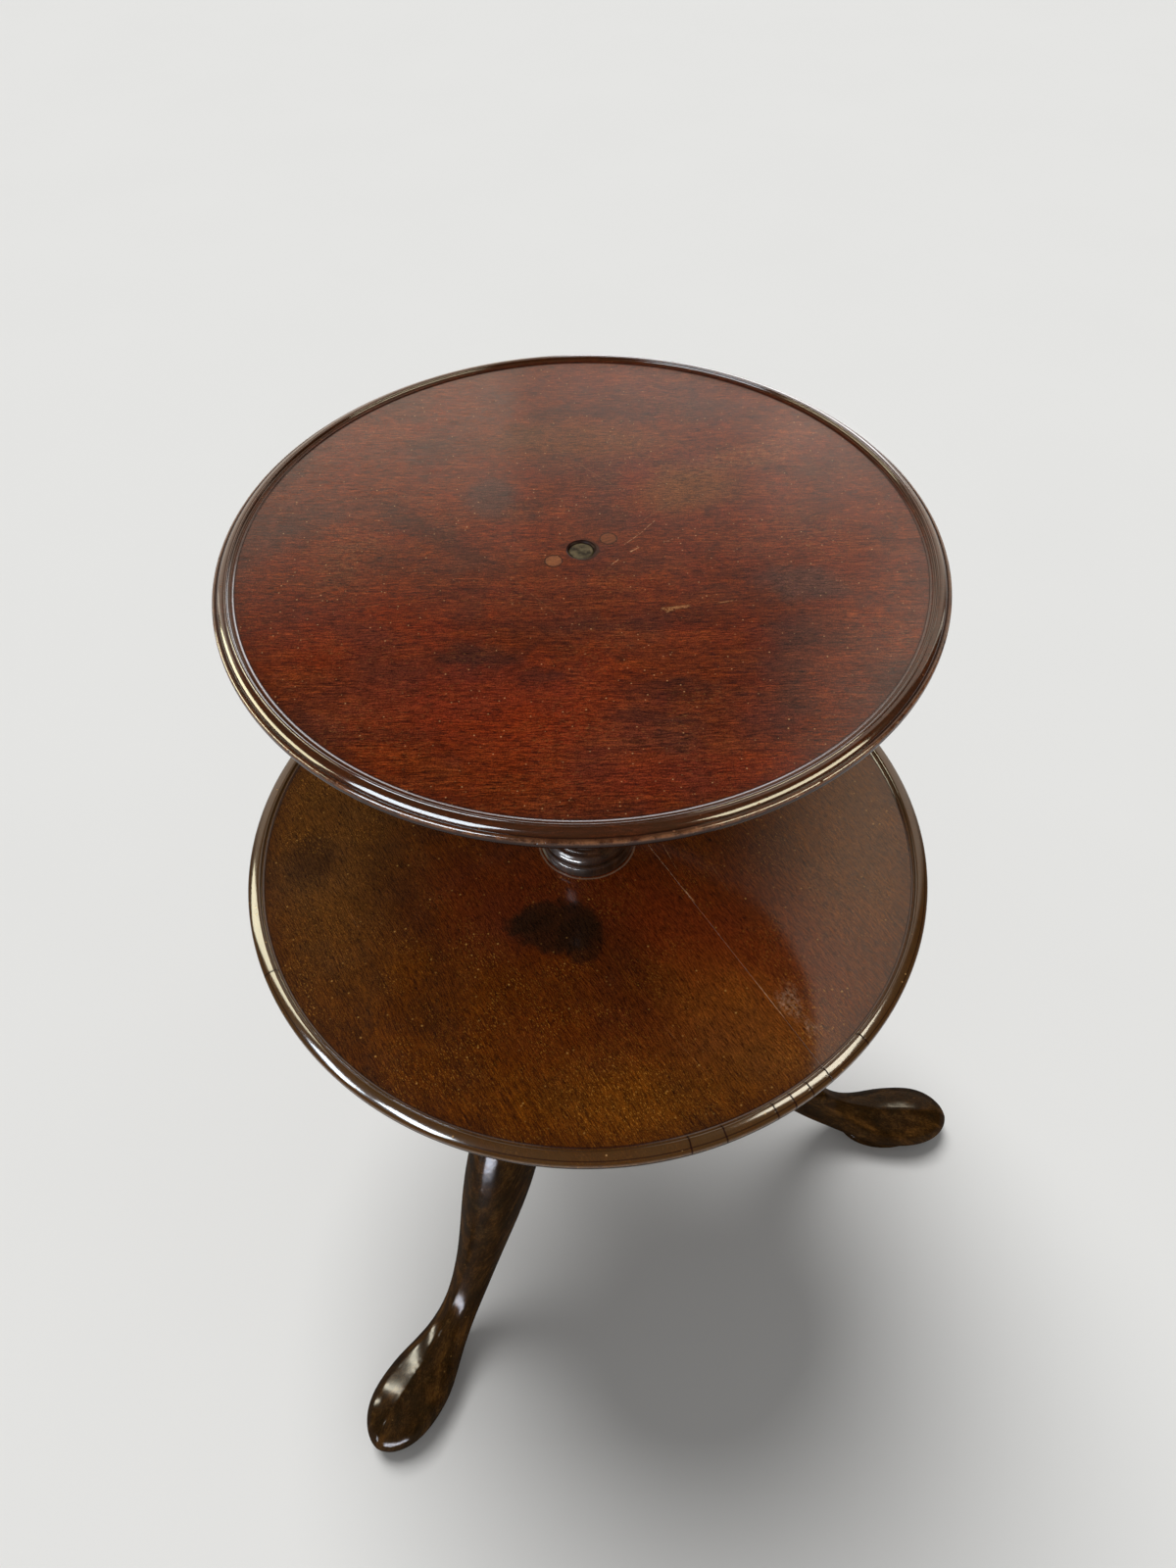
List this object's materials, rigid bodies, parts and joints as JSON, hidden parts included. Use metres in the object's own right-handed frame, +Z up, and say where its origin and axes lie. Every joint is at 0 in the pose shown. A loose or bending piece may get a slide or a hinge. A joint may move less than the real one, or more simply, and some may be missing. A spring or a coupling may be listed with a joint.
{
  "type": "dumbwaiter serving stand",
  "caption": "Tripod dumbwaiter serving stand in dark wood, with a turned column, curved legs on pad feet and stacked round dished trays that revolve.",
  "frame": {"origin": "on the floor, under the column's axis", "axes": "+Z up along the column's axis; +X from the axis towards the toe of the leg called leg_right"},
  "size_m": [0.6919, 0.7216, 0.869],
  "materials": {
    "upper_tray_wood": "old polish, worn",
    "lower_tray_wood": "old polish, worn",
    "leg_wood": "polished",
    "turned_wood": "polished",
    "hub_wood": "unpolished",
    "peg_wood": "old polish",
    "dark_iron": "forged, dark",
    "screw_iron": "aged",
    "pin_iron": "aged, dull",
    "worn_brass": "rubbed"
  },
  "bodies": {
    "stand": {"pedestal": "turned_wood", "leg_right": "leg_wood", "leg_back": "leg_wood", "leg_front": "leg_wood", "tie_plate": "dark_iron", "tie_plate_screws": "screw_iron", "lower_thrust_washer": "worn_brass", "upper_column": "turned_wood", "column_lock_peg": "peg_wood", "pivot_pin": "pin_iron", "upper_thrust_washer": "worn_brass"},
    "lower_tier": {"lower_tray_main_board": "lower_tray_wood", "lower_tray_side_board": "lower_tray_wood", "lower_hub": "hub_wood", "lower_hub_screws": "screw_iron"},
    "upper_tier": {"upper_tray": "upper_tray_wood", "upper_hub": "hub_wood", "upper_hub_screws": "screw_iron", "screw_pellet_right": "peg_wood", "screw_pellet_left": "peg_wood"}
  },
  "joints": [
    {"name": "lower_tier_spin", "type": "hinge", "parent": "stand", "child": "lower_tier", "pos_m": [0, 0, 0.5409], "axis": [0, 0, 1], "continuous": true},
    {"name": "upper_tier_spin", "type": "hinge", "parent": "stand", "child": "upper_tier", "pos_m": [0, 0, 0.8482], "axis": [0, 0, 1], "continuous": true}
  ]
}
